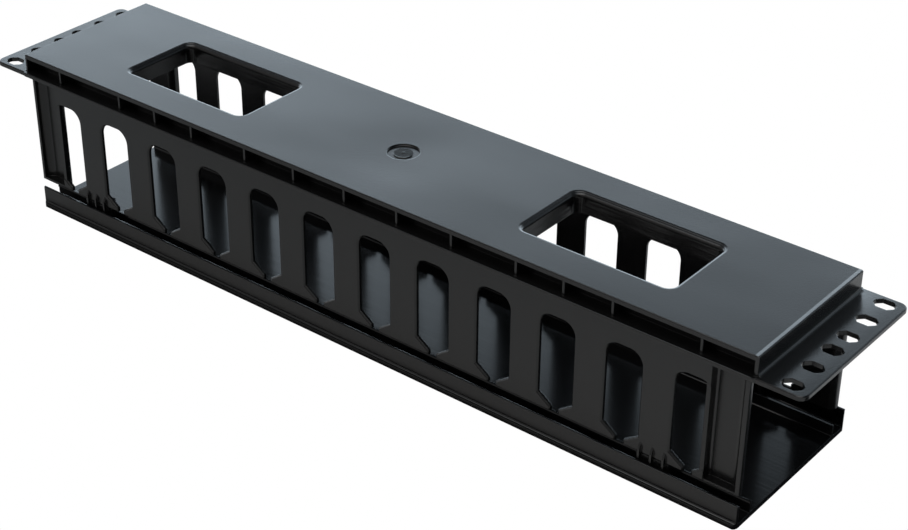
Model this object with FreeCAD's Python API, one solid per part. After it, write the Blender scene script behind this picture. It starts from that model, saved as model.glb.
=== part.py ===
import FreeCAD, Part
import math
import os
from FreeCAD import Vector

# Horizontal cable manager for a 19-inch rack: a moulded finger duct with two ears, and its clip-on cover.
# Lengths are millimetres. X runs along the rack's width and Z from the cover to the back plate.
# The origin lies under the middle of the duct, on the plane of the cover's outer face.

# Rack fastening: two ears with slots at the hole spacing of a two-unit panel
rack_width = 482.6
rack_hole_inset = 8.75
rack_hole_step = 15.875
rack_hole_middle_gap = 12.7
rack_holes_per_half = 3
ear_reach = 22.3
ear_end_margin = 5.95
ear_thickness = 2.2
ear_corner_radius = 4.0
ear_edge_chamfer = 0.45
ear_slot_length = 10.0
ear_slot_width = 7.2
ear_slot_tip = 2.9

# Back plate, raised above the ears so that it passes between the rack's rails
overall_height = 85.5
plate_rise = 9.5
plate_width = 85.6
plate_thickness = 2.2
plate_corner_chamfer = 0.6
plate_edge_chamfer = 0.4
foot_fillet_radius = 1.8

# Ledge and webs under the back plate's long edges, with ribs in the pockets between them
ledge_overhang = 1.9
ledge_edge_radius = 0.5
web_inset = 6.8
web_thickness = 2.2
end_wall_thickness = 1.5
rib_thickness = 1.2
rib_places = (0.0, 31.4, 62.8, 98.5, 123.8, 149.0, 192.6)
rib_setback = 0.25

# Cable windows in the back plate: a passage with a collar below it and a rounded rim above
window_pitch = 248.6
window_length = 79.7
window_width = 44.3
window_corner_radius = 4.2
window_rim_radius = 1.7
window_rim_facets = 3
collar_depth = 10.9
collar_wall = 1.9

# Moulding gate: a shallow round recess in the middle of the back plate with a low disc in it
gate_radius = 8.0
gate_depth = 1.0
gate_disc_radius = 4.7
gate_disc_height = 0.5
gate_pip_radius = 0.8
gate_pip_height = 0.25

# Finger walls
finger_wall_inset = 0.4
finger_wall_thickness = 2.1
slot_count = 12
slot_inset = 5.88
slot_width = 18.6
slot_corner_radius = 6.5
slot_drop = 10.3
head_height = 7.3
mouth_height = 2.4
mouth_width = 4.3
finger_edge_chamfer = 0.7

# End posts: upright troughs, open outward and closed at the bottom
post_end_inset = 2.9
post_width = 19.7
post_face_setback = 0.4
post_depth = 5.3
post_inner_wall = 2.0
post_back_wall = 0.9
post_rim = 2.1
post_floor_thickness = 1.3
trough_inner_radius = 1.2
trough_outer_radius = 4.2
post_back_radius = 3.6
post_edge_radius = 0.9

# Clip fingers: the second finger from each post reaches down into the cover
clip_finger_index = 5
clip_floor_clearance = 0.3
gusset_count = 3
gusset_pitch = 6.2
gusset_thickness = 1.1
gusset_depth = 1.45
gusset_slope_rise = 3.2
gusset_start_rise = 3.4
gusset_lead = 1.2

# Cover: an extruded channel with outer lips and inner ribs
cover_end_inset = 0.85
cover_slide = 3.0
cover_base_thickness = 2.6
cover_base_overhang = 1.5
cover_corner_radius = 3.0
cover_edge_radius = 0.8
lip_height = 11.5
lip_thickness = 1.4
lip_edge_radius = 0.4
lip_clearance = 0.15
clip_channel_width = 8.75
cover_rib_thickness = 1.1
cover_rib_height = 8.4
bead_height = 1.6
bead_depth = 0.4
bead_clearance = 0.15
cover_foot_radius = 0.8
finger_gap = 2.4

# Levels and faces that follow from the sizes above
plate_top = overall_height
plate_bottom = plate_top - plate_thickness
ear_top = plate_top - plate_rise
ear_bottom = ear_top - ear_thickness
plate_x = rack_width / 2 - ear_reach
plate_y = plate_width / 2
ledge_y = plate_y + ledge_overhang
web_y = plate_y - web_inset
rack_hole_x = rack_width / 2 - rack_hole_inset
rack_hole_rows = [rack_hole_middle_gap / 2 + n * rack_hole_step for n in range(rack_holes_per_half)]
ear_y = rack_hole_rows[-1] + ear_end_margin
finger_y = plate_y - finger_wall_inset
finger_inner_y = finger_y - finger_wall_thickness
finger_bottom = lip_height + finger_gap
slot_top = ear_bottom - slot_drop
head_top = finger_bottom + head_height
mouth_top = finger_bottom + mouth_height
post_x = plate_x - post_end_inset
post_inner_x = post_x - post_width
slot_pitch = 2 * (post_inner_x - slot_inset) / (slot_count - 1)
post_y = finger_y - post_face_setback
trough_x = post_inner_x + post_inner_wall
clip_bottom = cover_base_thickness + clip_floor_clearance
gusset_y = finger_y + gusset_depth
lip_inner_y = gusset_y + lip_clearance
lip_outer_y = lip_inner_y + lip_thickness
cover_y = lip_outer_y + cover_base_overhang
cover_x = post_x - cover_end_inset
cover_rib_y = lip_inner_y - clip_channel_width
clip_inner_y = cover_rib_y + bead_depth + bead_clearance


def block(x0, x1, y0, y1, z0, z1):
    """A box between two corners."""
    return Part.makeBox(x1 - x0, y1 - y0, z1 - z0, Vector(x0, y0, z0))


def prism(points, direction):
    """A flat outline of straight runs, carried along a direction."""
    outline = Part.makePolygon([Vector(*p) for p in points + points[:1]])
    return Part.Face(outline).extrude(Vector(*direction))


def mirrored(shape, normal):
    return shape.mirror(Vector(0, 0, 0), Vector(*normal))


def both_sides(shape, normal):
    return [shape, mirrored(shape, normal)]


def all_corners(shape):
    """The shape and its copies mirrored to the other three quarters."""
    return [m for s in both_sides(shape, (1, 0, 0)) for m in both_sides(s, (0, 1, 0))]


def join(shapes):
    return shapes[0].multiFuse(shapes[1:]).removeSplitter()


def middle(edge):
    return edge.valueAt((edge.FirstParameter + edge.LastParameter) / 2)


def edges_where(shape, test):
    """The edges whose middle point and direction there pass the test."""
    found = []
    for edge in shape.Edges:
        place = middle(edge)
        way = edge.tangentAt((edge.FirstParameter + edge.LastParameter) / 2)
        if test(place, way):
            found.append(edge)
    return found


def near(a, b):
    return abs(a - b) < 0.01


def rounded_slab(length, width, z0, z1, radius):
    """A rectangle with round corners, centred on the origin in plan."""
    slab = block(-length / 2, length / 2, -width / 2, width / 2, z0, z1)
    return slab.makeFillet(radius, edges_where(slab, lambda p, w: abs(w.z) > 0.9))


def nipped_slab(length, width, z0, z1):
    """A rectangle whose upright corners are cut off a little, centred on the origin in plan."""
    slab = block(-length / 2, length / 2, -width / 2, width / 2, z0, z1)
    return slab.makeChamfer(plate_corner_chamfer, edges_where(slab, lambda p, w: abs(w.z) > 0.9))


def round_arc(centre, radius, start, end):
    """An arc in a level plane, between two angles in degrees."""
    points = []
    for angle in (start, (start + end) / 2, end):
        turn = math.radians(angle)
        points.append(centre + Vector(radius * math.cos(turn), radius * math.sin(turn), 0))
    return Part.Arc(*points).toShape()


def rack_slot():
    """An ear slot's form along X: straight sides, slanted corners and short round tips."""
    radius = ear_slot_width / 2
    spread = math.degrees(math.asin(ear_slot_tip / 2 / radius))
    centre = Vector(ear_slot_length / 2 - radius, 0, ear_bottom)
    tip = round_arc(centre, radius, -spread, spread)
    tip_end = tip.valueAt(tip.LastParameter)
    slant = radius - ear_slot_tip / 2
    corner = Vector(tip_end.x - slant, radius, ear_bottom)
    far_corner = Vector(-corner.x, corner.y, ear_bottom)
    far_tip_end = Vector(-tip_end.x, tip_end.y, ear_bottom)
    upper = [
        Part.LineSegment(tip_end, corner).toShape(),
        Part.LineSegment(corner, far_corner).toShape(),
        Part.LineSegment(far_corner, far_tip_end).toShape(),
    ]
    lower = [mirrored(edge, (0, 1, 0)) for edge in upper]
    outline = Part.Wire(Part.__sortEdges__([tip, mirrored(tip, (1, 0, 0))] + upper + lower))
    return Part.Face(outline).extrude(Vector(0, 0, ear_thickness))


def back_plate():
    """The raised plate with its end walls and its long webs, hollow underneath."""
    plate = nipped_slab(2 * plate_x, plate_width, ear_bottom, plate_top)
    plate = plate.makeChamfer(plate_edge_chamfer, edges_where(plate, lambda p, w: near(p.z, plate_top)))
    hollow = block(
        -plate_x + end_wall_thickness, plate_x - end_wall_thickness,
        -web_y + web_thickness, web_y - web_thickness,
        ear_bottom, plate_bottom,
    )
    pocket = block(
        -plate_x + end_wall_thickness, plate_x - end_wall_thickness,
        -plate_y, -web_y,
        ear_top, plate_bottom,
    )
    return plate.cut([hollow] + both_sides(pocket, (0, 1, 0)))


def pocket_ribs():
    rib = block(
        -rib_thickness / 2, rib_thickness / 2,
        -plate_y + rib_setback, -web_y,
        ear_top, plate_bottom,
    )
    ribs = []
    for place in rib_places:
        sides = (0,) if place == 0 else (-place, place)
        for x in sides:
            ribs += both_sides(rib.translated(Vector(x, 0, 0)), (0, 1, 0))
    return ribs


def ledge():
    """The rim round the foot of the webs, open to the duct inside."""
    rim = nipped_slab(2 * plate_x, 2 * ledge_y, ear_bottom, ear_top)
    long_edges = edges_where(rim, lambda p, w: near(abs(p.y), ledge_y) and abs(w.x) > 0.9)
    rim = rim.makeFillet(ledge_edge_radius, long_edges)
    inside = block(
        -plate_x + end_wall_thickness, plate_x - end_wall_thickness,
        -web_y + web_thickness, web_y - web_thickness,
        ear_bottom, ear_top,
    )
    return rim.cut(inside)


def ears():
    """One plate from ear tip to ear tip, cut back to its two ears, with the rack slots."""
    plate = rounded_slab(rack_width, 2 * ear_y, ear_bottom, ear_top, ear_corner_radius)
    plate = plate.makeChamfer(ear_edge_chamfer, edges_where(plate, lambda p, w: near(p.z, ear_top)))
    inner_x = plate_x - end_wall_thickness
    plate = plate.cut(block(-inner_x, inner_x, -ear_y, ear_y, ear_bottom, ear_top))
    slots = []
    for y in rack_hole_rows:
        slots += all_corners(rack_slot().translated(Vector(rack_hole_x, y, 0)))
    return plate.cut(slots)


def foot_fillet():
    """The hollow fillet between an end wall and its ear."""
    r = foot_fillet_radius
    width = plate_width - 2 * plate_corner_chamfer
    bar = block(plate_x, plate_x + r, -width / 2, width / 2, ear_top, ear_top + r)
    hollow = Part.makeCylinder(r, width, Vector(plate_x + r, -width / 2, ear_top + r), Vector(0, 1, 0))
    return bar.cut(hollow)


def window_collar():
    """The wall round a window, below the plate."""
    return rounded_slab(
        window_length + 2 * collar_wall, window_width + 2 * collar_wall,
        plate_top - collar_depth, plate_bottom, window_corner_radius + collar_wall,
    )


def window_outline(growth, z):
    """A window's outline at a height, wider than the passage by a growth all round."""
    length = window_length + 2 * growth
    width = window_width + 2 * growth
    slab = rounded_slab(length, width, z, z + 1, window_corner_radius + growth)
    return [face for face in slab.Faces if near(face.CenterOfMass.z, z)][0].OuterWire


def window_opening():
    """What is cut out for a window: the passage, and the widening of its rounded rim in flat facets."""
    parts = [rounded_slab(
        window_length, window_width, plate_top - collar_depth, plate_top, window_corner_radius,
    )]
    r = window_rim_radius
    outlines = []
    for n in range(window_rim_facets + 1):
        turn = math.radians(90 * n / window_rim_facets)
        outlines.append(window_outline(r - r * math.sin(turn), plate_top - r + r * math.cos(turn)))
    for upper, lower in zip(outlines, outlines[1:]):
        parts.append(Part.makeLoft([lower, upper], True, True))
    return join(parts)


def window_places():
    return [Vector(-window_pitch / 2, 0, 0), Vector(window_pitch / 2, 0, 0)]


def gate_mark(body):
    """The round recess in the middle of the plate, with the low disc and the pip left by the mould's gate."""
    floor_z = plate_top - gate_depth
    recess = Part.makeCylinder(gate_radius, gate_depth, Vector(0, 0, floor_z))
    disc = Part.makeCylinder(gate_disc_radius, gate_disc_height, Vector(0, 0, floor_z))
    pip_z = floor_z + gate_disc_height
    pip = Part.makeCylinder(gate_pip_radius, gate_pip_height, Vector(0, 0, pip_z))
    return body.cut(recess).fuse([disc, pip]).removeSplitter()


def finger_slot():
    """One slot's form: round shoulders at the top, a narrow mouth between two slanted heads at the foot."""
    half = slot_width / 2
    r = slot_corner_radius
    y = -finger_y
    low = finger_bottom
    shoulder = slot_top - r
    diagonal = r * (1 - math.sqrt(0.5))
    left = Part.Arc(
        Vector(-half, y, shoulder),
        Vector(-half + diagonal, y, slot_top - diagonal),
        Vector(-half + r, y, slot_top),
    ).toShape()
    right = mirrored(left, (1, 0, 0))
    corners = [
        Vector(half, y, shoulder),
        Vector(half, y, head_top),
        Vector(mouth_width / 2, y, mouth_top),
        Vector(mouth_width / 2, y, low),
        Vector(-mouth_width / 2, y, low),
        Vector(-mouth_width / 2, y, mouth_top),
        Vector(-half, y, head_top),
        Vector(-half, y, shoulder),
    ]
    sides = [Part.LineSegment(a, b).toShape() for a, b in zip(corners, corners[1:])]
    top = Part.LineSegment(Vector(-half + r, y, slot_top), Vector(half - r, y, slot_top)).toShape()
    outline = Part.Wire(Part.__sortEdges__([left, top, right] + sides))
    return Part.Face(outline).extrude(Vector(0, finger_wall_thickness, 0))


def finger_wall():
    """The near finger wall, from the ledge to the finger heads."""
    wall = block(-trough_x, trough_x, -finger_y, -finger_inner_y, finger_bottom, ear_bottom)
    slot = finger_slot()
    first = -(slot_count - 1) / 2 * slot_pitch
    slots = [slot.translated(Vector(first + n * slot_pitch, 0, 0)) for n in range(slot_count)]
    wall = wall.cut(slots)

    def front_edge(p, w):
        return near(p.y, -finger_y) and p.z < ear_bottom - 0.01 and abs(p.x) < post_inner_x - 0.01

    return wall.makeChamfer(finger_edge_chamfer, edges_where(wall, front_edge))


def post():
    """The right-hand post of the near wall."""
    back_y = post_y - post_depth
    column = block(post_inner_x, post_x, -post_y, -back_y, finger_bottom, ear_bottom)
    back_edges = edges_where(column, lambda p, w: near(p.y, -back_y) and abs(w.z) > 0.9)
    column = column.makeFillet(post_back_radius, back_edges)
    trough = block(
        trough_x, post_x - post_rim,
        -post_y, -back_y - post_back_wall,
        finger_bottom + post_floor_thickness, ear_bottom,
    )
    trough_floor_y = -back_y - post_back_wall
    for x, radius in ((trough_x, trough_inner_radius), (post_x - post_rim, trough_outer_radius)):
        upright = edges_where(trough, lambda p, w: near(p.x, x) and abs(w.z) > 0.9)
        corner = [edge for edge in upright if near(middle(edge).y, trough_floor_y)]
        trough = trough.makeFillet(radius, corner)
    column = column.cut(trough)
    outer_edge = edges_where(column, lambda p, w: near(p.x, post_x) and near(p.y, -post_y) and abs(w.z) > 0.9)
    return column.makeFillet(post_edge_radius, outer_edge)


def clip_finger():
    """What one clip finger adds: a tab that reaches down into the cover, with thin gussets on both faces."""
    x = clip_finger_index * slot_pitch
    half = (slot_pitch - slot_width) / 2
    parts = [block(x - half, x + half, -finger_y, -finger_inner_y, clip_bottom, finger_bottom)]
    start_z = mouth_top + gusset_start_rise
    slope_z = start_z - gusset_slope_rise
    outer = [
        (0, -finger_y, start_z),
        (0, -gusset_y, slope_z),
        (0, -gusset_y, clip_bottom + gusset_lead),
        (0, -gusset_y + gusset_lead, clip_bottom),
        (0, -finger_y, clip_bottom),
    ]
    inner = [
        (0, -finger_inner_y, start_z),
        (0, -clip_inner_y, slope_z),
        (0, -clip_inner_y, clip_bottom + gusset_lead),
        (0, -clip_inner_y - gusset_lead, clip_bottom),
        (0, -finger_inner_y, clip_bottom),
    ]
    for outline in (outer, inner):
        gusset = prism(outline, (gusset_thickness, 0, 0))
        for n in range(gusset_count):
            place = x + (n - (gusset_count - 1) / 2) * gusset_pitch - gusset_thickness / 2
            parts.append(gusset.translated(Vector(place, 0, 0)))
    return parts


def duct_body():
    shapes = [back_plate(), ledge(), ears()]
    shapes += pocket_ribs()
    shapes += both_sides(foot_fillet(), (1, 0, 0))
    shapes += [window_collar().translated(place) for place in window_places()]
    shapes += both_sides(finger_wall(), (0, 1, 0))
    shapes += all_corners(post())
    for piece in clip_finger():
        shapes += all_corners(piece)
    body = join(shapes)
    body = body.cut([window_opening().translated(place) for place in window_places()])
    return gate_mark(body)


def cover():
    """An extruded channel: a flat base with an outer lip and an inner rib along each side."""
    half = cover_x
    base = block(-half, half, -cover_y, cover_y, 0, cover_base_thickness)
    base = base.makeFillet(cover_edge_radius, edges_where(base, lambda p, w: near(p.z, 0) and abs(w.x) > 0.9))
    lip = block(-half, half, -lip_outer_y, -lip_inner_y, cover_base_thickness, lip_height)
    lip_edges = edges_where(lip, lambda p, w: near(p.z, lip_height) and abs(w.x) > 0.9)
    lip = lip.makeFillet(lip_edge_radius, lip_edges)
    bead_z = cover_rib_height - bead_height
    rib = prism(
        [
            (-half, -cover_rib_y, cover_base_thickness),
            (-half, -cover_rib_y, bead_z),
            (-half, -cover_rib_y - bead_depth, bead_z + bead_height / 3),
            (-half, -cover_rib_y - bead_depth, cover_rib_height - bead_height / 3),
            (-half, -cover_rib_y, cover_rib_height),
            (-half, -cover_rib_y + cover_rib_thickness, cover_rib_height),
            (-half, -cover_rib_y + cover_rib_thickness, cover_base_thickness),
        ],
        (2 * half, 0, 0),
    )
    channel = join([base] + both_sides(lip, (0, 1, 0)) + both_sides(rib, (0, 1, 0)))
    feet = (lip_inner_y, lip_outer_y, cover_rib_y, cover_rib_y - cover_rib_thickness)

    def foot(p, w):
        return near(p.z, cover_base_thickness) and abs(w.x) > 0.9 and any(near(abs(p.y), y) for y in feet)

    channel = channel.makeFillet(cover_foot_radius, edges_where(channel, foot))
    trim = rounded_slab(2 * half, 2 * cover_y, 0, lip_height, cover_corner_radius)
    return channel.common(trim).translated(Vector(cover_slide, 0, 0))


def main():
    os.makedirs("parts", exist_ok=True)
    for name, make in (("duct_body", duct_body), ("cover", cover)):
        shape = make()
        solids = shape.Solids
        volume = round(shape.Volume / 1000, 2)
        print(name, "solids", len(solids), "valid", shape.isValid(), "volume cm3", volume)
        solids[0].exportStep(f"parts/{name}.step")


main()
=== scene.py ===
import math

import bpy
from mathutils import Matrix, Vector

# Horizontal cable manager lying on its cover: black moulded finger duct, semi-gloss extruded cover.
# Everything is in metres in the CAD model's frame: X along the rack's width, Z up, camera on the -Y side.

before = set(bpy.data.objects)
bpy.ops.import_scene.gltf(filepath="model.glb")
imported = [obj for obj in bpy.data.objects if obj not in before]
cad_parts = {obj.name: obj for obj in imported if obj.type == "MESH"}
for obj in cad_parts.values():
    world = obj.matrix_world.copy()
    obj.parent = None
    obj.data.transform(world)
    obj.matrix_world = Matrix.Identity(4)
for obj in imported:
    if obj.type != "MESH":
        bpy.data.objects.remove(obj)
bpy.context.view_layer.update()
scene = bpy.context.scene

# Camera, fitted to the photograph
CAMERA_PLACE = (0.51780, -0.61194, 0.51093)
CAMERA_AZIMUTH = 38.506
CAMERA_ELEVATION = 31.311
CAMERA_ROLL = 0.514
LENS = 76.54
SENSOR = 36.0
CLIP_NEAR = 0.01
CLIP_FAR = 50.0

# Both plastics
PLASTIC_IOR = 1.5
EDGE_SAMPLES = 6
MASK_SHARP = 4000.0
MASK_SOFT = 200.0

# Body plastic: linear colour, sheen, the radius of its broken edges, mottle, handling marks and fine grain
BODY_COLOUR = (0.0040, 0.0040, 0.0041)
BODY_PALE = 1.25
BODY_ROUGHNESS = 0.245
BODY_SHEEN_SPREAD = 0.05
BODY_EDGE = 0.0004
BODY_MOTTLE_SCALE = 16.0
SMEAR_SCALE = (9.0, 30.0, 30.0)
GRAIN_SCALE = 1150.0
GRAIN_SHARE = 0.5
GRAIN_DEPTH = 0.00006

# Body form: slow waves in the faces, a dish round the gate, and the right ear's dip toward its root
WAVE_SCALE = (14.0, 22.0, 14.0)
WAVINESS = 0.0004
DISH_DEPTH = 0.0006
DISH_RADIUS = 0.024
EAR_TIP = 0.2385
EAR_LENGTH = 0.0215
EAR_DIP = 4.6

# Collars: a rolled brim, faces that lean back, and streaks along them
COLLAR_TOP = 0.0850
COLLAR_ROUND = 0.0028
COLLAR_ROLL = 0.85
COLLAR_LEAN = 0.09
COLLAR_HALF_WIDTH = 0.030
COLLAR_REACH = 0.19
STREAK_SCALE = (40.0, 40.0, 420.0)
STREAK_START = 300.0
STREAK_DEPTH = 0.00015

# Gate mark: its low disc is tilted and torn off rough
GATE_DISC = 0.0047
GATE_TILT = 0.11
TEARING_SCALE = 900.0
TEARING_SHARE = 1.6

# Cover plastic: draw lines run along its length and show most on its flat base
COVER_COLOUR = (0.0038, 0.0039, 0.0042)
COVER_PALE = 1.2
COVER_ROUGHNESS = 0.16
COVER_SHEEN_SPREAD = 0.03
COVER_EDGE = 0.0002
COVER_FLAT = 0.0030
COVER_MOTTLE_SCALE = 22.0
DRAW_LINE_SCALE = (4.0, 520.0, 520.0)
DRAW_LINE_STRENGTH = 0.5
DRAW_LINE_DEPTH = 0.00004

# Studio light by direction: a wide pale bank low behind the table that falls off upward, a dim room in front,
# and a lamp overhead; the right-hand side is dark
BANK_TINT = (0.855, 1.0, 1.12)
ROOM_TINT = (1.0, 0.99, 0.98)
BACK_FADE = 0.35
BANK_LOW = 3.3
BANK_MIDDLE = 1.14
BANK_MIDDLE_HEIGHT = 0.5
BANK_FALL = 4.9
BANK_EDGE_START = 0.537
BANK_EDGE_END = 0.631
ROOM_LIGHT = 0.30
DIM_LIGHT = 0.05
TOP_LIGHT = 2.1
TOP_LEAN = 0.15
TOP_START = 0.80
TOP_END = 0.95
RIGHT_SHARE = 0.10
RIGHT_END = 0.7

# Floor: its colour holds painted shade, darker at the left, and a painted contact shadow beside the object,
# so it throws less light up at the left and hardly any from beside the object
WHITE = (1.0, 1.0, 1.0)
# painted shade: the floor's colour runs from this darker tone at the left to the paler one at the right
FLOOR_SHADED_LEFT = (0.45, 0.44, 0.425)
FLOOR_LIT_RIGHT = (0.87, 0.84, 0.81)
FLOOR_REACH = 0.25
FLOOR_HALF = 6.0
FLOOR_DROP = 0.0002
FLOOR_ROUGHNESS = 0.8
# painted contact shadow: near-black floor colour beside the object, fading out between these two distances
CONTACT_SHADOW_COLOUR = (0.02, 0.02, 0.02)
CONTACT_START = 0.0475
CONTACT_END = 0.0530

SMOOTH = {"interpolation_type": "SMOOTHSTEP"}


class Socket:
    """A node socket that can be used in arithmetic; each operator adds a Math node."""

    def __init__(self, tree, link):
        self.tree = tree
        self.link = link

    def math(self, operation, other=None, swapped=False):
        values = [other, self] if swapped else [self, other]
        made = self.tree.nodes.new("ShaderNodeMath")
        made.operation = operation
        for place, value in enumerate(values):
            if value is not None:
                feed(self.tree, made.inputs[place], value)
        return Socket(self.tree, made.outputs[0])

    def __add__(self, other):
        return self.math("ADD", other)

    def __radd__(self, other):
        return self.math("ADD", other, True)

    def __sub__(self, other):
        return self.math("SUBTRACT", other)

    def __rsub__(self, other):
        return self.math("SUBTRACT", other, True)

    def __mul__(self, other):
        return self.math("MULTIPLY", other)

    def __truediv__(self, other):
        return self.math("DIVIDE", other)

    def __pow__(self, other):
        return self.math("POWER", other)

    def size(self):
        return self.math("ABSOLUTE")

    def at_least(self, limit):
        return self.math("MAXIMUM", limit)

    def at_most(self, limit):
        return self.math("MINIMUM", limit)

    def clamp(self):
        return (self + 0).at_least(0).at_most(1)


def feed(tree, socket, value):
    """Links a socket, or sets its plain value."""
    if isinstance(value, Socket):
        tree.links.new(value.link, socket)
    else:
        socket.default_value = value


def add_node(tree, kind, settings=None, output=0, **inputs):
    """Adds any node: its settings first, then its inputs by name, with underscores for spaces."""
    made = tree.nodes.new(kind)
    for name, value in (settings or {}).items():
        setattr(made, name, value)
    for name, value in inputs.items():
        feed(tree, made.inputs[name.replace("_", " ")], value)
    return Socket(tree, made.outputs[output])


def mix_colours(tree, factor, low, high):
    """A colour between two, by a factor."""
    made = tree.nodes.new("ShaderNodeMix")
    made.data_type = "RGBA"
    feed(tree, made.inputs[0], factor)
    feed(tree, made.inputs[6], (*low, 1.0) if isinstance(low, tuple) else low)
    feed(tree, made.inputs[7], (*high, 1.0) if isinstance(high, tuple) else high)
    return Socket(tree, made.outputs[2])


def new_material(name):
    """A node material with a Principled shader; returns the material, its tree and the shader node."""
    material = bpy.data.materials.new(name)
    material.use_nodes = True
    tree = material.node_tree
    return material, tree, tree.nodes["Principled BSDF"]


def noise(tree, place, scale, detail=2.0, roughness=0.5):
    settings = {"noise_dimensions": "3D"}
    return add_node(tree, "ShaderNodeTexNoise", settings, Vector=place, Scale=scale, Detail=detail,
                    Roughness=roughness)


def object_place(tree):
    return add_node(tree, "ShaderNodeTexCoord", output=3)


def is_camera_ray(tree):
    return add_node(tree, "ShaderNodeLightPath", output=0)


def scaled(tree, place, factors):
    """The place with each axis multiplied, for stretched patterns."""
    made = tree.nodes.new("ShaderNodeVectorMath")
    made.operation = "MULTIPLY"
    feed(tree, made.inputs[0], place)
    feed(tree, made.inputs[1], factors)
    return Socket(tree, made.outputs[0])


def split_place(tree, place):
    """The three coordinates of a place."""
    made = tree.nodes.new("ShaderNodeSeparateXYZ")
    feed(tree, made.inputs[0], place)
    return [Socket(tree, out) for out in made.outputs]


def below(value, limit, sharpness):
    """One where a value is well below a limit, falling to nothing at the limit."""
    return ((limit - value) * sharpness).clamp()


def broken_edges(tree, radius):
    """A normal that rounds every edge and inner corner a little, as a mould does."""
    return add_node(tree, "ShaderNodeBevel", {"samples": EDGE_SAMPLES}, Radius=radius)


def gate_dish(tree, place):
    """One at the moulding gate, falling softly to nothing around it, where the plate has sunk a little."""
    x, y, _ = split_place(tree, place)
    return ((x * x + y * y) / (-2 * DISH_RADIUS ** 2)).math("EXPONENT")


def gate_disc(tree, place):
    """One on the low disc inside the gate mark, where the plastic was torn off rough."""
    x, y, _ = split_place(tree, place)
    return below((x * x + y * y) ** 0.5, GATE_DISC, MASK_SHARP)


def ear_dip(tree, place):
    """How far the warped right ear lies below its tip."""
    x, _, _ = split_place(tree, place)
    inward = (EAR_TIP - x).at_least(0).at_most(EAR_LENGTH)
    return inward * inward * EAR_DIP


def collar_form(tree, place):
    """The brim rolls over; the faces below lean back and are streaked where the mould's cores slid."""
    x, y, z = split_place(tree, place)
    depth = (COLLAR_TOP - z).at_least(0)
    rolled = depth.at_most(COLLAR_ROUND)
    roll = (rolled - rolled * rolled / (2 * COLLAR_ROUND)) * COLLAR_ROLL
    lean = (depth - rolled) * COLLAR_LEAN
    inside = below(y.size(), COLLAR_HALF_WIDTH, MASK_SOFT) * below(x.size(), COLLAR_REACH, MASK_SOFT)
    streaks = noise(tree, scaled(tree, place, STREAK_SCALE), 1.0)
    return inside * (streaks * (depth * STREAK_START).clamp() * STREAK_DEPTH + roll - lean)


def body_form(tree, place, torn):
    """The height of everything that is too slight for the solid and wider than the grain."""
    _, y, _ = split_place(tree, place)
    waves = noise(tree, scaled(tree, place, WAVE_SCALE), 1.0, 1.0)
    form = waves * WAVINESS - gate_dish(tree, place) * DISH_DEPTH - ear_dip(tree, place)
    return form + collar_form(tree, place) + torn * y * GATE_TILT


def finish_plastic(tree, shader, colour, roughness, normal):
    feed(tree, shader.inputs["Base Color"], colour)
    feed(tree, shader.inputs["Roughness"], roughness)
    feed(tree, shader.inputs["Normal"], normal)
    shader.inputs["IOR"].default_value = PLASTIC_IOR


def body_plastic():
    """Spark-textured black plastic: satin, with a slow mottle and faint handling marks in its sheen."""
    material, tree, shader = new_material("duct_black_plastic")
    place = object_place(tree)
    mottle = noise(tree, place, BODY_MOTTLE_SCALE, 3.0)
    smear = noise(tree, scaled(tree, place, SMEAR_SCALE), 1.0, 4.0, 0.6)
    roughness = BODY_ROUGHNESS + (mottle - 0.5) * BODY_SHEEN_SPREAD + (smear - 0.5) * BODY_SHEEN_SPREAD
    colour = mix_colours(tree, mottle, BODY_COLOUR, tuple(c * BODY_PALE for c in BODY_COLOUR))
    torn = gate_disc(tree, place)
    form = body_form(tree, place, torn)
    moulded = add_node(tree, "ShaderNodeBump", Height=form, Strength=1.0, Distance=1.0,
                       Normal=broken_edges(tree, BODY_EDGE))
    grain = noise(tree, place, GRAIN_SCALE, 1.0)
    tearing = noise(tree, place, TEARING_SCALE)
    texture = grain * GRAIN_SHARE + tearing * torn * TEARING_SHARE
    bump = add_node(tree, "ShaderNodeBump", Height=texture, Strength=1.0, Distance=GRAIN_DEPTH,
                    Normal=moulded)
    finish_plastic(tree, shader, colour, roughness, bump)
    return material


def cover_plastic():
    """Smooth extruded black plastic with faint draw lines along its length."""
    material, tree, shader = new_material("cover_black_plastic")
    place = object_place(tree)
    lines = noise(tree, scaled(tree, place, DRAW_LINE_SCALE), 1.0)
    mottle = noise(tree, place, COVER_MOTTLE_SCALE, 3.0)
    roughness = COVER_ROUGHNESS + (mottle - 0.5) * COVER_SHEEN_SPREAD + (lines - 0.5) * COVER_SHEEN_SPREAD
    _, _, z = split_place(tree, place)
    flat = below(z, COVER_FLAT, MASK_SHARP)
    bump = add_node(tree, "ShaderNodeBump", Height=lines * flat, Strength=DRAW_LINE_STRENGTH,
                    Distance=DRAW_LINE_DEPTH, Normal=broken_edges(tree, COVER_EDGE))
    colour = mix_colours(tree, mottle, COVER_COLOUR, tuple(c * COVER_PALE for c in COVER_COLOUR))
    finish_plastic(tree, shader, colour, roughness, bump)
    return material


def dress(node, material):
    """Gives a CAD node its finish through its material slots."""
    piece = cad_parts[node]
    if not piece.material_slots:
        piece.data.materials.append(material)
    for slot in piece.material_slots:
        slot.material = material


def look_matrix(azimuth, elevation, roll, place):
    """A camera at a place, turned by azimuth from the -Y side, down by elevation, and rolled."""
    a = math.radians(azimuth)
    e = math.radians(elevation)
    r = math.radians(roll)
    back = Vector((math.sin(a) * math.cos(e), -math.cos(a) * math.cos(e), math.sin(e)))
    level_right = Vector((math.cos(a), math.sin(a), 0.0))
    level_up = back.cross(level_right)
    right = level_right * math.cos(r) + level_up * math.sin(r)
    up = level_up * math.cos(r) - level_right * math.sin(r)
    turned = Matrix((right, up, back)).transposed().to_4x4()
    return Matrix.Translation(Vector(place)) @ turned


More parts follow.
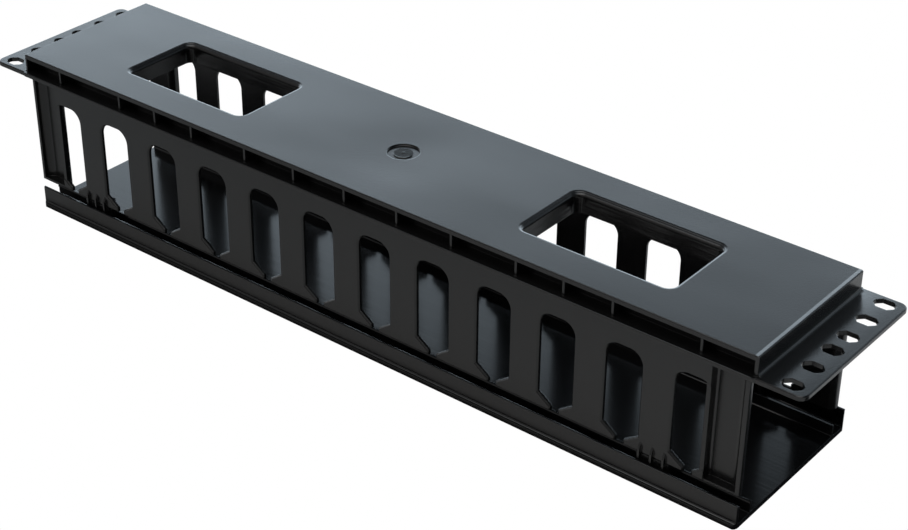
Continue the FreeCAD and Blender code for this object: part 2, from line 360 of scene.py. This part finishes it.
def add_camera():
    data = bpy.data.cameras.new("camera")
    data.lens = LENS
    data.sensor_width = SENSOR
    data.sensor_fit = "HORIZONTAL"
    data.clip_start = CLIP_NEAR
    data.clip_end = CLIP_FAR
    camera = bpy.data.objects.new("camera", data)
    scene.collection.objects.link(camera)
    camera.matrix_world = look_matrix(CAMERA_AZIMUTH, CAMERA_ELEVATION, CAMERA_ROLL, CAMERA_PLACE)
    scene.camera = camera


def add_world():
    """White to the camera; for light, the bank behind, the dim room in front and the lamp overhead."""
    world = bpy.data.worlds.new("studio")
    world.use_nodes = True
    scene.world = world
    tree = world.node_tree
    background = tree.nodes["Background"]
    direction = add_node(tree, "ShaderNodeTexCoord", output=0)
    x, y, z = split_place(tree, direction)
    backness = add_node(tree, "ShaderNodeMapRange", SMOOTH, Value=y, From_Min=-BACK_FADE, From_Max=BACK_FADE)
    bank = ((z - BANK_MIDDLE_HEIGHT) * -BANK_FALL).math("EXPONENT") * BANK_MIDDLE
    bank_edge = add_node(tree, "ShaderNodeMapRange", SMOOTH, Value=z, From_Min=BANK_EDGE_START,
                         From_Max=BANK_EDGE_END, To_Min=1.0, To_Max=0.0)
    bank = bank.at_most(BANK_LOW) * bank_edge
    right = add_node(tree, "ShaderNodeMapRange", SMOOTH, Value=x, From_Min=0.0, From_Max=RIGHT_END,
                     To_Min=1.0, To_Max=RIGHT_SHARE)
    top = add_node(tree, "ShaderNodeMapRange", SMOOTH, Value=z - y * TOP_LEAN, From_Min=TOP_START,
                   From_Max=TOP_END, To_Min=DIM_LIGHT, To_Max=TOP_LIGHT)
    light = (ROOM_LIGHT + (bank - ROOM_LIGHT) * backness) * right + top
    tint = mix_colours(tree, backness, ROOM_TINT, BANK_TINT)
    camera_ray = is_camera_ray(tree)
    feed(tree, background.inputs["Color"], mix_colours(tree, camera_ray, tint, WHITE))
    feed(tree, background.inputs["Strength"], light + (1 - light) * camera_ray)


def floor_colour(tree):
    """The floor's colour for light, with painted shade and a painted contact shadow: paler to the right, and
    dark beside the object.
    """
    x, y, _ = split_place(tree, object_place(tree))
    rightness = (x / (2 * FLOOR_REACH) + 0.5).clamp()
    # painted shade: the floor's colour is darker toward the left
    lit = mix_colours(tree, rightness, FLOOR_SHADED_LEFT, FLOOR_LIT_RIGHT)
    away = add_node(tree, "ShaderNodeMapRange", SMOOTH, Value=y.size(), From_Min=CONTACT_START,
                    From_Max=CONTACT_END)
    # painted contact shadow: the floor's colour is near black beside the object
    return mix_colours(tree, away, CONTACT_SHADOW_COLOUR, lit)


def add_floor():
    """A floor that is plain white to the camera."""
    corners = [(x * FLOOR_HALF, y * FLOOR_HALF, 0) for x, y in ((-1, -1), (1, -1), (1, 1), (-1, 1))]
    mesh = bpy.data.meshes.new("floor")
    mesh.from_pydata(corners, [], [(0, 1, 2, 3)])
    floor = bpy.data.objects.new("floor", mesh)
    scene.collection.objects.link(floor)
    floor.location.z = -FLOOR_DROP
    material, tree, shader = new_material("floor_pale")
    feed(tree, shader.inputs["Base Color"], floor_colour(tree))
    shader.inputs["Roughness"].default_value = FLOOR_ROUGHNESS
    white = add_node(tree, "ShaderNodeEmission", Color=(*WHITE, 1.0), Strength=1.0)
    blend = tree.nodes.new("ShaderNodeMixShader")
    feed(tree, blend.inputs[0], is_camera_ray(tree))
    feed(tree, blend.inputs[1], Socket(tree, shader.outputs[0]))
    feed(tree, blend.inputs[2], white)
    tree.links.new(blend.outputs[0], tree.nodes["Material Output"].inputs[0])
    mesh.materials.append(material)


dress("duct_body", body_plastic())
dress("cover", cover_plastic())
add_world()
add_floor()
add_camera()

scene.view_settings.view_transform = "Standard"
